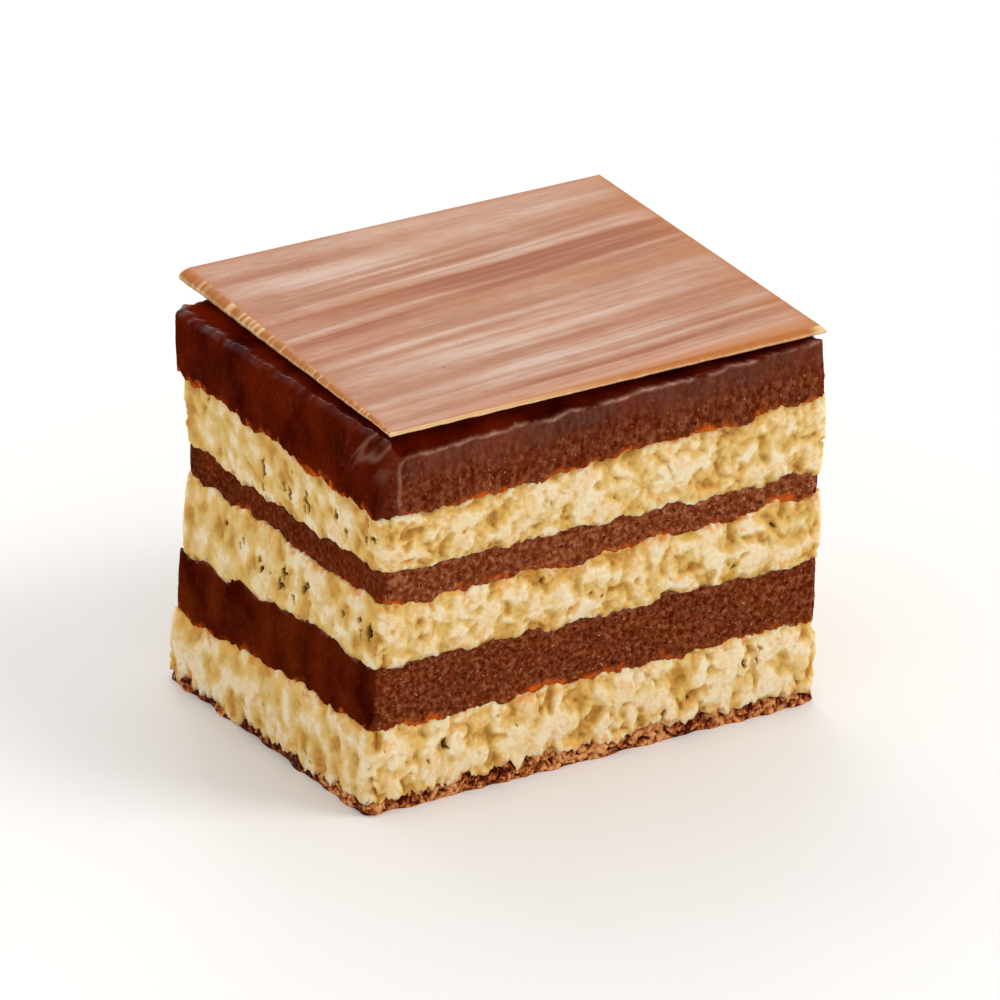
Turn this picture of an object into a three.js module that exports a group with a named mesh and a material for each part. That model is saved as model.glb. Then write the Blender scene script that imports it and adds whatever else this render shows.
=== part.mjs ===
// Hazelnut petit four: a small upright block cut from a slab of pale sponge and chocolate ganache,
// on a thin coat of chocolate, with a thin brushed chocolate plaque laid on top.
// Millimetres, +Z up. The origin is the middle of the underside, where the cake stands.
// X runs along the long cut face and Y along the short one. The four upright edges of the block are called
// near (-X -Y), right (+X -Y), far (+X +Y) and left (-X +Y).
import * as THREE from "three";

const { clamp, lerp, smoothstep } = THREE.MathUtils;

// Driving dimensions of the cut block
const LENGTH = 32.4;
const WIDTH = 24.2;
const CORNER_RADIUS = 0.8;
const LEAN = { x: 0.033, y: -0.019 }; // sideways drift of the cut for each millimetre of height

// Heights of the seams between the layers at the four upright edges,
// and how far each seam bows up in the middle of the long and of the short faces
const SEAMS = {
  underside: { near: 0, right: 0, far: 0, left: 0, bowLong: 0, bowShort: 0 },
  coat: { near: 0.8, right: 1.1, far: 0.8, left: 0.4, bowLong: 0.3, bowShort: -0.1 },
  lowerGanacheFoot: { near: 5.8, right: 5.9, far: 5.3, left: 4.3, bowLong: -0.1, bowShort: 0.3 },
  lowerGanacheHead: { near: 10.1, right: 10.1, far: 9.6, left: 8.6, bowLong: -0.2, bowShort: 0.35 },
  middleGanacheFoot: { near: 14.1, right: 14.5, far: 14.4, left: 14.2, bowLong: -0.2, bowShort: 0.1 },
  middleGanacheHead: { near: 16.4, right: 16.1, far: 16.6, left: 16.4, bowLong: 0.1, bowShort: -0.2 },
  topGanacheFoot: { near: 20.3, right: 21.4, far: 21.2, left: 21.0, bowLong: -0.2, bowShort: 0.2 },
  plaqueSeat: { near: 25.3, right: 25.3, far: 25.8, left: 25.8, bowLong: 0, bowShort: 0 },
};
const SEAM_WAVE = 0.14; // height of the waves along a seam's edge
const SEAM_CREASE = 0.12; // each layer's edge draws back this far from its neighbour's

// Layers from the floor up. A shift moves a layer's upright edge out of the nominal block, along X and Y,
// at the layer's foot and head. Its walls swell by crown and carry relief, of a height and a spacing.
const SPONGE = { finish: "sponge", rows: 6, crown: 0.18, relief: { height: 0.42, spacing: 1.5 } };
const GANACHE = { finish: "ganache", rows: 4, crown: 0.05, relief: { height: 0.12, spacing: 2.4 } };
const COAT = { finish: "coat", rows: 2, crown: 0, relief: { height: 0.3, spacing: 1.7 } };
const LAYERS = [
  {
    name: "chocolate_base", make: COAT, foot: "underside", head: "coat",
    footShift: { near: [0, 0.1], right: [0.5, 0.1], far: [0.3, 0.1], left: [-0.3, 0.3] },
    headShift: { near: [0, 0.2], right: [0.4, 0.2], far: [0.2, 0], left: [-0.2, 0.2] },
  },
  {
    name: "sponge_bottom", make: SPONGE, foot: "coat", head: "lowerGanacheFoot",
    footShift: { near: [0, -0.1], right: [0.1, -0.1], far: [0.1, 0.1], left: [-0.3, 0.3] },
    headShift: { near: [0, 0], right: [0.1, 0], far: [0.1, 0.1], left: [-0.1, 0.2] },
  },
  {
    name: "ganache_lower", make: GANACHE, foot: "lowerGanacheFoot", head: "lowerGanacheHead",
    footShift: { near: [0.1, 0], right: [0.1, 0], far: [-0.1, -0.3], left: [0, 0.2] },
    headShift: { near: [0.2, 0.1], right: [0.1, 0.1], far: [0, -0.4], left: [0, 0.2] },
  },
  {
    name: "sponge_middle", make: SPONGE, foot: "lowerGanacheHead", head: "middleGanacheFoot",
    footShift: { near: [0.2, 0], right: [0.1, 0], far: [0.1, -0.2], left: [0.1, -0.2] },
    headShift: { near: [0.4, 0], right: [0, 0], far: [0, -0.2], left: [0.3, -0.2] },
  },
  {
    name: "ganache_middle", make: GANACHE, foot: "middleGanacheFoot", head: "middleGanacheHead",
    footShift: { near: [0.6, 0.1], right: [-0.1, 0.1], far: [-0.2, -0.2], left: [0.4, -0.2] },
    headShift: { near: [0.6, 0.1], right: [-0.1, 0.1], far: [-0.2, 0], left: [0.4, -0.1] },
  },
  {
    name: "sponge_top", make: SPONGE, foot: "middleGanacheHead", head: "topGanacheFoot",
    footShift: { near: [0.5, 0], right: [0, 0], far: [0, -0.1], left: [0.3, -0.1] },
    headShift: { near: [0.2, 0], right: [0.1, 0], far: [0.1, 0], left: [0, 0.1] },
  },
  {
    name: "ganache_top", make: GANACHE, foot: "topGanacheFoot", head: "plaqueSeat",
    footShift: { near: [-0.1, -0.1], right: [0, -0.1], far: [-0.1, -0.1], left: [-0.5, 0.5] },
    headShift: { near: [0.7, 0.1], right: [-0.2, 0.1], far: [-0.3, -0.2], left: [-0.7, 0.6] },
  },
];
// The top ganache's upper edge has slumped below the plaque, most at the near end of its front face
const SLUMP = { frontNear: 1.3, frontRight: 0.2, right: 0.4, back: 0.4, left: 0.4 };

// The plaque, a thin sheet set back from the front and left faces and hanging over the back
const PLAQUE = { length: 31.5, width: 26.7, thickness: 0.5, x: 1.45, y: 1.2, turn: -0.012 };
const PLAQUE_TAPER = 0.45; // its back edge is this much shorter, at the far end
const PLAQUE_CORNER = 0.15;
const PLAQUE_BEVEL = 0.25; // the upper rim slopes in this far
const PLAQUE_WANDER = 0.1; // unevenness of its snapped edge
const SEAT_GAP = 0.05;

// Facets
const EDGE_STEP = 1.25; // spacing of the points round a layer
const ARC_STEPS = 3; // points round each of its corners
const SEAM_INSET = 2.2; // the ring inside a layer's edge where it lies on its neighbour

const FINISHES = {
  sponge: { color: 0xe6d3a3, roughness: 0.95, metalness: 0 },
  ganache: { color: 0x4f2416, roughness: 0.5, metalness: 0 },
  coat: { color: 0x6b3a22, roughness: 0.7, metalness: 0 },
  plaque: { color: 0xc79f88, roughness: 0.35, metalness: 0 },
};

// A repeatable value between -1 and 1 for each point of a lattice
function latticeValue(i, j, k) {
  const wave = Math.sin(i * 127.1 + j * 311.7 + k * 74.7) * 43758.5453;
  return 2 * (wave - Math.floor(wave)) - 1;
}

// Smooth noise between -1 and 1: lattice values blended over each cell
function noise(x, y, z) {
  const [i, j, k] = [x, y, z].map(Math.floor);
  const u = smoothstep(x - i, 0, 1);
  const v = smoothstep(y - j, 0, 1);
  const w = smoothstep(z - k, 0, 1);
  const row = (dj, dk) => lerp(latticeValue(i, j + dj, k + dk), latticeValue(i + 1, j + dj, k + dk), u);
  const sheet = (dk) => lerp(row(0, dk), row(1, dk), v);
  return lerp(sheet(0), sheet(1), w);
}

// Crumb or drag marks of two sizes, one half as large as the other
function reliefAt(relief, x, y, z) {
  const marks = (spacing) => noise(x / spacing, y / spacing, z / spacing);
  return relief.height * (0.7 * marks(relief.spacing) + 0.3 * marks(relief.spacing / 2));
}

// Rounded rectangle about the middle, seen from above anticlockwise from the near end of the front face
function roundedRectangle(length, width, radius) {
  const x = length / 2 - radius;
  const y = width / 2 - radius;
  const quarter = Math.PI / 2;
  return new THREE.Shape()
    .moveTo(-x, -y - radius)
    .lineTo(x, -y - radius)
    .absarc(x, -y, radius, -quarter, 0)
    .lineTo(x + radius, y)
    .absarc(x, y, radius, 0, quarter)
    .lineTo(-x, y + radius)
    .absarc(-x, y, radius, quarter, 2 * quarter)
    .lineTo(-x - radius, -y)
    .absarc(-x, -y, radius, 2 * quarter, 3 * quarter);
}

// Points of an outline, evenly spaced along its straights and closer round its corners, with outward normals
function walkOutline(shape) {
  const points = shape.curves.flatMap((curve) => {
    const count = curve.isLineCurve ? Math.round(curve.getLength() / EDGE_STEP) : ARC_STEPS;
    return curve.getPoints(count).slice(0, count);
  });
  return points.map((point, index) => {
    const before = points.at(index - 1);
    const after = points[(index + 1) % points.length];
    const along = after.clone().sub(before).normalize();
    return { x: point.x, y: point.y, normal: { x: along.y, y: -along.x } };
  });
}

// Value at (x, y) of the block from its values at the four upright edges
function byCorner(corners, x, y) {
  const u = clamp(x / LENGTH + 0.5, 0, 1);
  const v = clamp(y / WIDTH + 0.5, 0, 1);
  return lerp(lerp(corners.near, corners.right, u), lerp(corners.left, corners.far, u), v);
}

// One coordinate of the shift at (x, y) from the shifts of the four upright edges
function shiftAt(shifts, axis, x, y) {
  const { near, right, far, left } = shifts;
  return byCorner({ near: near[axis], right: right[axis], far: far[axis], left: left[axis] }, x, y);
}

// Height of a seam at (x, y): a skew plane through its corners, bowed over the long and the short faces
function seamHeight(seam, x, y) {
  const arch = (share) => 1 - (2 * clamp(share, -0.5, 0.5)) ** 2;
  const bowLong = seam.bowLong * arch(x / LENGTH) * Math.abs((2 * y) / WIDTH);
  const bowShort = seam.bowShort * arch(y / WIDTH) * Math.abs((2 * x) / LENGTH);
  return byCorner(seam, x, y) + bowLong + bowShort;
}

// Waves along a seam's edge, the same for the layers on both sides of it
function seamWave(seam, x, y) {
  if (seam === SEAMS.underside || seam === SEAMS.plaqueSeat) return 0;
  const pace = 0.45;
  return SEAM_WAVE * noise(x * pace + seam.near, y * pace + seam.left, seam.right);
}

// Point at (x, y) of the upright block, moved with the lean at its height
function lean(x, y, height) {
  return [x + LEAN.x * height, y + LEAN.y * height, height];
}

// Point of an outline drawn in towards the middle, so that each side of its rectangle moves in by inset
function drawIn(edge, length, width, inset) {
  return { x: edge.x * (1 - (2 * inset) / length), y: edge.y * (1 - (2 * inset) / width) };
}

// Point on the ring where two layers lie on each other, inside the edges of both
function ringPoint(seam, edge) {
  const { x, y } = drawIn(edge, LENGTH, WIDTH, SEAM_INSET);
  return lean(x, y, seamHeight(seam, x, y));
}

function seamCentre(seam) {
  return lean(0, 0, seamHeight(seam, 0, 0));
}

// How far a layer's foot stands above the seam under it
function footRise(layer) {
  return layer.foot === "underside" ? 0 : SEAM_CREASE;
}

// How far a layer's head stays below the seam over it, where the wall faces along the edge's normal
function headDrop(layer, edge) {
  if (layer.head !== "plaqueSeat") return SEAM_CREASE;
  const front = lerp(SLUMP.frontNear, SLUMP.frontRight, clamp(edge.x / LENGTH + 0.5, 0, 1));
  const alongX = edge.normal.x < 0 ? SLUMP.left : SLUMP.right;
  const alongY = edge.normal.y < 0 ? front : SLUMP.back;
  return alongX * edge.normal.x ** 2 + alongY * edge.normal.y ** 2;
}

// Point on a layer's wall: share runs from 0 at its foot to 1 at its head
function wallPoint(layer, edge, share) {
  const { make } = layer;
  const { x, y, normal } = edge;
  const levelOf = (name) => seamHeight(SEAMS[name], x, y) + seamWave(SEAMS[name], x, y);
  const low = levelOf(layer.foot) + footRise(layer);
  const high = levelOf(layer.head) - headDrop(layer, edge);
  const height = lerp(low, high, share);
  const swell = make.crown * Math.sin(Math.PI * share) + reliefAt(make.relief, x, y, height);
  const [moveX, moveY] = [0, 1].map((axis) =>
    lerp(shiftAt(layer.footShift, axis, x, y), shiftAt(layer.headShift, axis, x, y), share));
  return lean(x + moveX + normal.x * swell, y + moveY + normal.y * swell, height);
}

// Closed drum with as many rings, from a pole under it, round its wall, to a pole on top.
// A lathe gives its facets, and place(ring, step) each of its points.
function drum(ringCount, steps, place) {
  const profile = Array.from({ length: ringCount }, (_, ring) => {
    const turn = (Math.PI * ring) / (ringCount - 1);
    return new THREE.Vector2(Math.sin(turn), -Math.cos(turn));
  });
  const geometry = new THREE.LatheGeometry(profile, steps);
  const position = geometry.getAttribute("position");
  for (let index = 0; index < position.count; index++) {
    const step = Math.floor(index / ringCount) % steps;
    position.setXYZ(index, ...place(index % ringCount, step));
  }
  geometry.computeVertexNormals();
  return geometry;
}

function mesh(name, finish, geometry) {
  const made = new THREE.Mesh(geometry, new THREE.MeshStandardMaterial(FINISHES[finish]));
  made.name = name;
  return made;
}

// A layer of the stack: it lies on the seam under it inside its edge, and carries the seam over it
function layerMesh(layer) {
  const edges = walkOutline(roundedRectangle(LENGTH, WIDTH, CORNER_RADIUS));
  const { rows, finish } = layer.make;
  const lastRow = rows + 2;
  const place = (ring, step) => {
    if (ring === 0) return seamCentre(SEAMS[layer.foot]);
    if (ring === 1) return ringPoint(SEAMS[layer.foot], edges[step]);
    if (ring <= lastRow) return wallPoint(layer, edges[step], (ring - 2) / rows);
    if (ring === lastRow + 1) return ringPoint(SEAMS[layer.head], edges[step]);
    return seamCentre(SEAMS[layer.head]);
  };
  return mesh(layer.name, finish, drum(lastRow + 3, edges.length, place));
}

// The plaque: flat below, with an uneven snapped edge and a sloping upper rim
function plaqueMesh() {
  const edges = walkOutline(roundedRectangle(PLAQUE.length, PLAQUE.width, PLAQUE_CORNER));
  const rings = [
    { pole: true, rise: 0 },
    { inset: 1.2, rise: 0 },
    { inset: 0, rise: 0 },
    { inset: 0, rise: 0.5 },
    { inset: PLAQUE_BEVEL, rise: 1 },
    { inset: 1.5, rise: 1 },
    { pole: true, rise: 1 },
  ];
  const seat = SEAMS.plaqueSeat;
  const slope = (seat.left - seat.near) / WIDTH;
  const [cosine, sine] = [Math.cos(PLAQUE.turn), Math.sin(PLAQUE.turn)];
  const place = (ring, step) => {
    const { pole, inset, rise } = rings[ring];
    const edge = edges[step];
    const wander = PLAQUE_WANDER * noise(edge.x * 0.5, edge.y * 0.5, 7);
    const { x, y } = pole ? { x: 0, y: 0 } : drawIn(edge, PLAQUE.length, PLAQUE.width, inset + wander);
    const taperedX = x - PLAQUE_TAPER * (x / PLAQUE.length + 0.5) * (y / PLAQUE.width + 0.5);
    const placedX = PLAQUE.x + taperedX * cosine - y * sine;
    const placedY = PLAQUE.y + taperedX * sine + y * cosine;
    const level = seat.near + slope * (placedY + WIDTH / 2) + SEAT_GAP;
    return [placedX, placedY, level + rise * PLAQUE.thickness];
  };
  return mesh("chocolate_plaque", "plaque", drum(rings.length, edges.length, place));
}

const cake = new THREE.Group();
cake.name = "hazelnut_petit_four";
cake.add(...LAYERS.map(layerMesh), plaqueMesh());

export default cake;
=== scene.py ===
"""Looks of a hazelnut petit four: a block cut from a slab of pale sponge and chocolate ganache.

The block stands on a thin coat of chocolate and carries a thin brushed chocolate plaque. Every shape is
worked out with numpy in millimetres and handed to Blender in metres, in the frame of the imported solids:
+Z up, X along the long cut face, Y along the short one, the origin in the middle of the underside. The
four upright edges of the block are called near (-X -Y), right (+X -Y), far (+X +Y) and left (-X +Y).
"""

import itertools
import logging
import math
from collections.abc import Iterator
from dataclasses import dataclass, field
from enum import Enum

import bpy
import numpy as np
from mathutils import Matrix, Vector


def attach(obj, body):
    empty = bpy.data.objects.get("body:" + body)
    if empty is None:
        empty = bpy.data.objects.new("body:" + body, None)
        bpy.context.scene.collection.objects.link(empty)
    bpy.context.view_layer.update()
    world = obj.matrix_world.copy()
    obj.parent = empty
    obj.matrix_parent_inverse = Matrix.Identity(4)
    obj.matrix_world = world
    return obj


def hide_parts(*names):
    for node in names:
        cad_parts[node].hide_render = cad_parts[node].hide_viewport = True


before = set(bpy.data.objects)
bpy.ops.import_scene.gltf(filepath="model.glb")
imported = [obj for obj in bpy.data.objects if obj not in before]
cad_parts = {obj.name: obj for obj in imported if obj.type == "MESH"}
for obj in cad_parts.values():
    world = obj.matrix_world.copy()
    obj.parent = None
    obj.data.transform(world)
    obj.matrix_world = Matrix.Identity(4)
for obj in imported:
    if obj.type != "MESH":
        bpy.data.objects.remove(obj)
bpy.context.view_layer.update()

Array = np.ndarray
Pair = tuple[float, float]
Triple = tuple[float, float, float]
Colour = Triple
Stops = tuple[tuple[float, Colour], ...]
Material = bpy.types.Material
Socket = bpy.types.NodeSocket

log = logging.getLogger("petit_four")

MM = 0.001

# Driving sizes of the cut block, as in the solids
LENGTH = 32.4
WIDTH = 24.2
CORNER_RADIUS = 0.8
LEAN = (0.033, -0.019)
SEAM_INSET = 2.2
CAP_SHARES = (0.15, 0.5, 1.0)
SHELF_SHARES = (0.06, 0.14, 0.26, 0.42, 0.6, 0.8, 1.0)

# Waves and jags of the seams: height, and cells to a millimetre along X, Y and Z
SEAM_WAVE = 0.42
WAVE_PACE = np.array([0.45, 0.45, 1.0])
JAG_PACE = np.array([1.2, 1.2, 3.0])


class Slot(Enum):
    """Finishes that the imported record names."""

    SPONGE = "sponge"
    GANACHE = "ganache"
    COAT = "chocolate_coat"
    PLAQUE = "brushed_chocolate"


# Repeatable noise

CUBE = np.array(list(itertools.product((0, 1), repeat=3)), dtype=float)
NEIGHBOURS = np.array(list(itertools.product((-1, 0, 1), repeat=3)), dtype=float)
HASH_DIRECTION = np.array([127.1, 311.7, 74.7])
HASH_GAIN = 43758.5453
HASH_SHIFTS = (11.0, 23.0, 37.0)
RADIUS_SHIFT = 53.0
DRIFT_SHIFTS = (3.1, 41.7, 87.3)
NOISE_SCALE = 1.7
OCTAVE_TURN = np.array([(0.36, 0.48, -0.8), (-0.8, 0.6, 0.0), (0.48, 0.64, 0.6)])
OCTAVE_PACE = 2.03
OCTAVE_SHIFT = 19.7


def lattice_value(cells: Array) -> Array:
    """Give a repeatable value from -1 to 1 for each cell: the fraction of a large sine of its indices.

    Args:
        cells: Whole-number cell indices, three to a cell.

    Returns:
        One value for each cell.
    """
    wave = np.sin(cells @ HASH_DIRECTION) * HASH_GAIN
    return 2.0 * (wave - np.floor(wave)) - 1.0


def lattice_vector(cells: Array) -> Array:
    """Give three repeatable values from -1 to 1 for each cell."""
    return np.stack([lattice_value(cells + shift) for shift in HASH_SHIFTS], axis=-1)


def smooth_noise(points: Array) -> Array:
    """Blend the slopes of the eight lattice corners round each point, each 0 at its own corner.

    Args:
        points: Places, three numbers to a place, in lattice cells.

    Returns:
        One value from about -1 to 1 for each place.
    """
    cell = np.floor(points)
    share = points - cell
    blend = share**3 * (share * (6.0 * share - 15.0) + 10.0)
    total = np.zeros(points.shape[:-1])
    for corner in CUBE:
        weight = np.prod(np.where(corner > 0, blend, 1.0 - blend), axis=-1)
        total += weight * np.sum(lattice_vector(cell + corner) * (share - corner), axis=-1)
    return NOISE_SCALE * total


def rough_noise(points: Array, octaves: int = 3) -> Array:
    """Add smooth noises, each turned, twice as fine and half as high as the one before.

    Args:
        points: Places in cells of the coarsest noise.
        octaves: How many noises are added.

    Returns:
        One value from about -1 to 1 for each place.
    """
    total = np.zeros(points.shape[:-1])
    height = 1.0
    for _ in range(octaves):
        total += height * smooth_noise(points)
        points = points @ OCTAVE_TURN * OCTAVE_PACE + OCTAVE_SHIFT
        height *= 0.5
    return total / (2.0 - 2.0 * height)


def drift(points: Array, reach: float, spacing: float) -> Array:
    """Move points by three smooth noises, so that a regular pattern read there becomes irregular.

    Args:
        points: Places in millimetres.
        reach: Longest move along each axis.
        spacing: Size of the noise's cells.

    Returns:
        The moved places.
    """
    moves = [smooth_noise(points / spacing + shift) for shift in DRIFT_SHIFTS]
    return points + reach * np.stack(moves, axis=-1)


def ease(value: Array, low: float, high: float) -> Array:
    """Give the smooth step from 0 at low to 1 at high."""
    share = np.clip((value - low) / (high - low), 0.0, 1.0)
    return share * share * (3.0 - 2.0 * share)


def ridge(value: Array, centre: float, spread: float) -> Array:
    """Give the bell curve that is 1 at centre and fades over spread."""
    return np.exp(-(((value - centre) / spread) ** 2))


@dataclass(frozen=True)
class Scatter:
    """Round bodies, one in each cell of a jittered lattice, that a surface runs through."""

    spacing: float
    radius: float
    spread: float
    tall: float = 1.0
    seed: float = 0.0
    jitter: float = 0.42

    def bodies(self, points: Array, normals: Array) -> Iterator[tuple[Array, Array, Array]]:
        """Go through the bodies in the cells round each place, with lengths in cells.

        Args:
            points: Places on the surface in millimetres.
            normals: Outward normals there.

        Returns:
            For each of the cells round a place: the body's radius², how far the place lies outside its
            centre along the normal, and the distance² to it.
        """
        scaled = points / (self.spacing * np.array([1.0, 1.0, self.tall])) + self.seed
        cell = np.floor(scaled)
        for offset in NEIGHBOURS:
            home = cell + offset
            reach = scaled - (home + 0.5 + self.jitter * lattice_vector(home))
            radius = self.radius * (1.0 + self.spread * lattice_value(home + RADIUS_SHIFT))
            yield radius**2, np.sum(reach * normals, axis=-1), np.sum(reach**2, axis=-1)


@dataclass(frozen=True)
class Bubbles(Scatter):
    """Round cavities, cut open by a surface."""

    lip: float = 0.06

    def depth(self, points: Array, normals: Array) -> Array:
        """Measure how deep the cut bubbles go under a surface.

        A point inside a bubble sees its far wall, straight in along the normal, at along + sqrt(along² +
        inside), where along is how far the point lies outside the bubble's centre, and inside is radius²
        less the distance² to it. The deepest of the bubbles round the point counts, and its rim is eased
        over lip.

        Args:
            points: Places on the surface in millimetres.
            normals: Outward normals there.

        Returns:
            Depth of the cavity at each place in millimetres.
        """
        deepest = np.zeros(points.shape[:-1])
        for radius_squared, along, distance_squared in self.bodies(points, normals):
            inside = radius_squared - distance_squared
            cut = along + np.sqrt(np.maximum(along**2 + inside, 0.0))
            deepest = np.maximum(deepest, cut * ease(inside, 0.0, self.lip))
        return deepest * self.spacing


@dataclass(frozen=True)
class Grains(Scatter):
    """Round crumbs, packed against a surface from inside."""

    jitter: float = 0.45
    sunk: float = 0.25
    floor: float = 0.75

    def height(self, points: Array, normals: Array) -> Array:
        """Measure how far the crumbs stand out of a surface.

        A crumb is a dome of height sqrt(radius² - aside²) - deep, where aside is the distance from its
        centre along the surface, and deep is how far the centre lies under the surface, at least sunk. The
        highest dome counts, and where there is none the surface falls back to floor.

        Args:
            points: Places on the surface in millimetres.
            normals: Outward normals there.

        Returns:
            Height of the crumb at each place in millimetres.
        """
        highest = np.full(points.shape[:-1], -self.floor)
        for radius_squared, along, distance_squared in self.bodies(points, normals):
            aside = distance_squared - along**2
            dome = np.sqrt(np.maximum(radius_squared - aside, 0.0)) - np.maximum(along, self.sunk)
            highest = np.maximum(highest, np.where(aside < radius_squared, dome, -self.floor))
        return highest * self.spacing


def soft_floor(value: Array, spread: float) -> Array:
    """Hold a value above 0, rounding the bend over spread: half of value + sqrt(value² + spread²)."""
    return 0.5 * (value + np.sqrt(value**2 + spread**2))


def soften(values: Array, rounds: int) -> Array:
    """Smooth an array of a wall: half of each value and a quarter of each neighbour, both ways.

    Args:
        values: Rows from foot to head by columns that close round the block.
        rounds: How many times.

    Returns:
        The smoothed array.
    """
    for _ in range(rounds):
        values = 0.5 * values + 0.25 * (np.roll(values, 1, 1) + np.roll(values, -1, 1))
        padded = np.pad(values, ((1, 1), (0, 0)), mode="edge")
        values = 0.5 * values + 0.25 * (padded[:-2] + padded[2:])
    return values


# The block: its outline and its seams


@dataclass(frozen=True)
class Walk:
    """Points round an outline, anticlockwise from above, with outward normals."""

    x: Array
    y: Array
    normal_x: Array
    normal_y: Array


@dataclass(frozen=True)
class Outline:
    """Rounded rectangle about the middle."""

    length: float
    width: float
    radius: float

    def walk(self, step: float) -> Walk:
        """Walk the outline from the near end of the front face, side by side.

        A side is its straight followed by a quarter circle about the centre of the corner at its end. The
        corner's angle grows with the length walked, and the straight has one normal.

        Args:
            step: Spacing of the points along the outline.

        Returns:
            The points and their normals.
        """
        half = (self.length / 2 - self.radius, self.width / 2 - self.radius)
        starts = ((-half[0], -half[1]), (half[0], -half[1]), (half[0], half[1]), (-half[0], half[1]))
        parts = []
        for side, (start_x, start_y) in enumerate(starts):
            straight = 2 * half[side % 2]
            arc = self.radius * math.pi / 2
            count = max(2, round((straight + arc) / step))
            walked = np.arange(count) * (straight + arc) / count
            turn = (side - 1) * math.pi / 2 + np.maximum(walked - straight, 0.0) / self.radius
            along = np.minimum(walked, straight)
            heading = side * math.pi / 2
            x = start_x + along * round(math.cos(heading)) + self.radius * np.cos(turn)
            y = start_y + along * round(math.sin(heading)) + self.radius * np.sin(turn)
            parts.append((x, y, np.cos(turn), np.sin(turn)))
        return Walk(*(np.concatenate(values) for values in zip(*parts)))


BLOCK = Outline(LENGTH, WIDTH, CORNER_RADIUS)


@dataclass(frozen=True)
class Corners:
    """A number at each of the block's upright edges."""

    near: float = 0.0
    right: float = 0.0
    far: float = 0.0
    left: float = 0.0

    def at(self, x: Array, y: Array) -> Array:
        """Blend the four numbers over the block, straight along X and along Y.

        Args:
            x: Places along X.
            y: Places along Y.

        Returns:
            The number at each place.
        """
        u = np.clip(x / LENGTH + 0.5, 0.0, 1.0)
        v = np.clip(y / WIDTH + 0.5, 0.0, 1.0)
        front = self.near + (self.right - self.near) * u
        back = self.left + (self.far - self.left) * u
        return front + (back - front) * v


@dataclass(frozen=True)
class Seam:
    """Surface between two layers: its heights at the upright edges and its bows over the faces."""

    level: Corners
    bow_long: float = 0.0
    bow_short: float = 0.0
    jag: float = 0.0

    def height(self, x: Array, y: Array) -> Array:
        """Give the skew plane through the corners, bowed up along the long and the short faces.

        Args:
            x: Places along X.
            y: Places along Y.

        Returns:
            Heights in millimetres.
        """
        u = np.clip(2 * x / LENGTH, -1.0, 1.0)
        v = np.clip(2 * y / WIDTH, -1.0, 1.0)
        bow = self.bow_long * (1 - u**2) * np.abs(v) + self.bow_short * (1 - v**2) * np.abs(u)
        return self.level.at(x, y) + bow

    def edge(self, x: Array, y: Array) -> Array:
        """Give the seam's height at the outside of the block, with its waves and the jags of torn crumb.

        Args:
            x: Places along X.
            y: Places along Y.

        Returns:
            Heights in millimetres, the same for the layers on both sides of the seam.
        """
        level = self.height(x, y)
        if self.jag == 0.0:
            return level
        place = np.stack([x, y, np.full_like(x, self.level.right)], axis=-1)
        offset = np.array([self.level.near, self.level.left, 0.0])
        wave = SEAM_WAVE * smooth_noise(place * WAVE_PACE + offset)
        jags = self.jag * rough_noise(place * JAG_PACE + offset, 4)
        return level + wave + jags


UNDERSIDE = Seam(Corners())
COAT_TOP = Seam(Corners(0.8, 1.1, 0.8, 0.4), 0.3, -0.1, 1.0)
LOWER_FOOT = Seam(Corners(5.8, 5.9, 5.3, 4.3), -0.1, 0.3, 0.45)
LOWER_HEAD = Seam(Corners(10.1, 10.1, 9.6, 8.6), -0.2, 0.35, 0.28)
MIDDLE_FOOT = Seam(Corners(14.1, 14.5, 14.4, 14.2), -0.2, 0.1, 0.45)
MIDDLE_HEAD = Seam(Corners(16.4, 16.1, 16.6, 16.4), 0.1, -0.2, 0.32)
TOP_FOOT = Seam(Corners(20.3, 21.4, 21.2, 21.0), -0.2, 0.2, 0.45)
PLAQUE_SEAT = Seam(Corners(25.3, 25.3, 25.8, 25.8))


# Meshes


@dataclass
class Surface:
    """A closed mesh in millimetres with the marks that its finish reads."""

    points: Array
    quads: Array
    triangles: Array
    marks: dict[str, Array]

    def piece(self, name: str) -> bpy.types.Object:
        """Hand the mesh to Blender in metres, smooth, with a float attribute for each mark.

        Args:
            name: Name of the new piece.

        Returns:
            The piece, at the origin.
        """
        mesh = bpy.data.meshes.new(name)
        corners = np.concatenate([self.quads.ravel(), self.triangles.ravel()]).astype(np.int32)
        sizes = np.concatenate([np.full(len(self.quads), 4), np.full(len(self.triangles), 3)])
        mesh.vertices.add(len(self.points))
        mesh.vertices.foreach_set("co", (self.points * MM).astype(np.float32).ravel())
        mesh.loops.add(len(corners))
        mesh.loops.foreach_set("vertex_index", corners)
        mesh.polygons.add(len(sizes))
        mesh.polygons.foreach_set("loop_start", (np.cumsum(sizes) - sizes).astype(np.int32))
        mesh.polygons.foreach_set("use_smooth", np.ones(len(sizes), dtype=bool))
        for mark, values in self.marks.items():
            layer = mesh.attributes.new(mark, "FLOAT", "POINT")
            layer.data.foreach_set("value", values.astype(np.float32))
        mesh.update(calc_edges=True)
        mesh.validate()
        made = bpy.data.objects.new(name, mesh)
        bpy.context.scene.collection.objects.link(made)
        return made

    def dress(self, node: str, slot: Slot, finish: Material) -> bpy.types.Object:
        """Make the piece that takes a node's place, in its finish.

        Args:
            node: Name of the node.
            slot: Not used.
            finish: The material.

        Returns:
            The piece, riding on the one body.
        """
        made = self.piece(f"{node}_dressed")
        made.data.materials.append(finish)
        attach(made, "root")
        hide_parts(node)
        return made


def grid_quads(index: Array) -> Array:
    """List the quads between the points of a grid, given by their indices in rows along X, facing up."""
    quads = np.stack([index[:-1, :-1], index[:-1, 1:], index[1:, 1:], index[1:, :-1]], axis=-1)
    return quads.reshape(-1, 4)


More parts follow.
